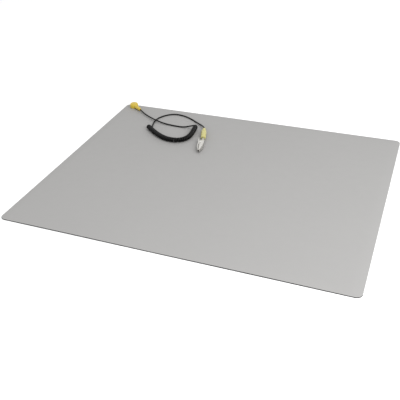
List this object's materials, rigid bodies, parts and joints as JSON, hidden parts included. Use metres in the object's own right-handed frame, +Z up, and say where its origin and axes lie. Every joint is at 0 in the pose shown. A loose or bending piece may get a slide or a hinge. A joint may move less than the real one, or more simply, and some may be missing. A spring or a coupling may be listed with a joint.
{
  "type": "anti static bench mat",
  "caption": "Flat grey rubber bench mat with a black underside and rounded corners, a press stud in one corner, and a curly ground lead ending in a plug with a crocodile clip.",
  "frame": {"origin": "middle of the mat's underside, on the surface that it lies on", "axes": "+X along the long side, +Y towards the edge with the stud (which is then in the back left corner), +Z up, out of the grey face"},
  "size_m": [0.6, 0.5, 0.013],
  "materials": {
    "grey_rubber": "matt, very fine grain",
    "black_rubber": "matt",
    "yellow_plastic": "moulded, satin",
    "lead_jacket": "smooth, semi-gloss",
    "nickel": "bright nickel plate"
  },
  "bodies": {
    "mat_and_lead": {"mat_top_layer": "grey_rubber", "mat_base_layer": "black_rubber", "mat_stud": "nickel", "stud_washer": "nickel", "snap_socket": "nickel", "snap_head": "yellow_plastic", "lead_snap_end": "lead_jacket", "lead_coil": "lead_jacket", "lead_plug_end": "lead_jacket", "plug_grip": "yellow_plastic", "plug_pin": "nickel", "clip_fixed_jaw": "nickel", "clip_pin": "nickel", "clip_spring": "nickel"},
    "clip_lever": {"clip_moving_jaw": "nickel"}
  },
  "joints": [
    {"name": "jaw_hinge", "type": "hinge", "parent": "mat_and_lead", "child": "clip_lever", "pos_m": [-0.06737, 0.10398, 0.00755], "axis": [0, 0, -1], "range_deg": [0, 7], "stiffness_Nm_per_rad": 0.02, "springref_deg": -22.92, "deforming": ["clip_spring"]}
  ]
}
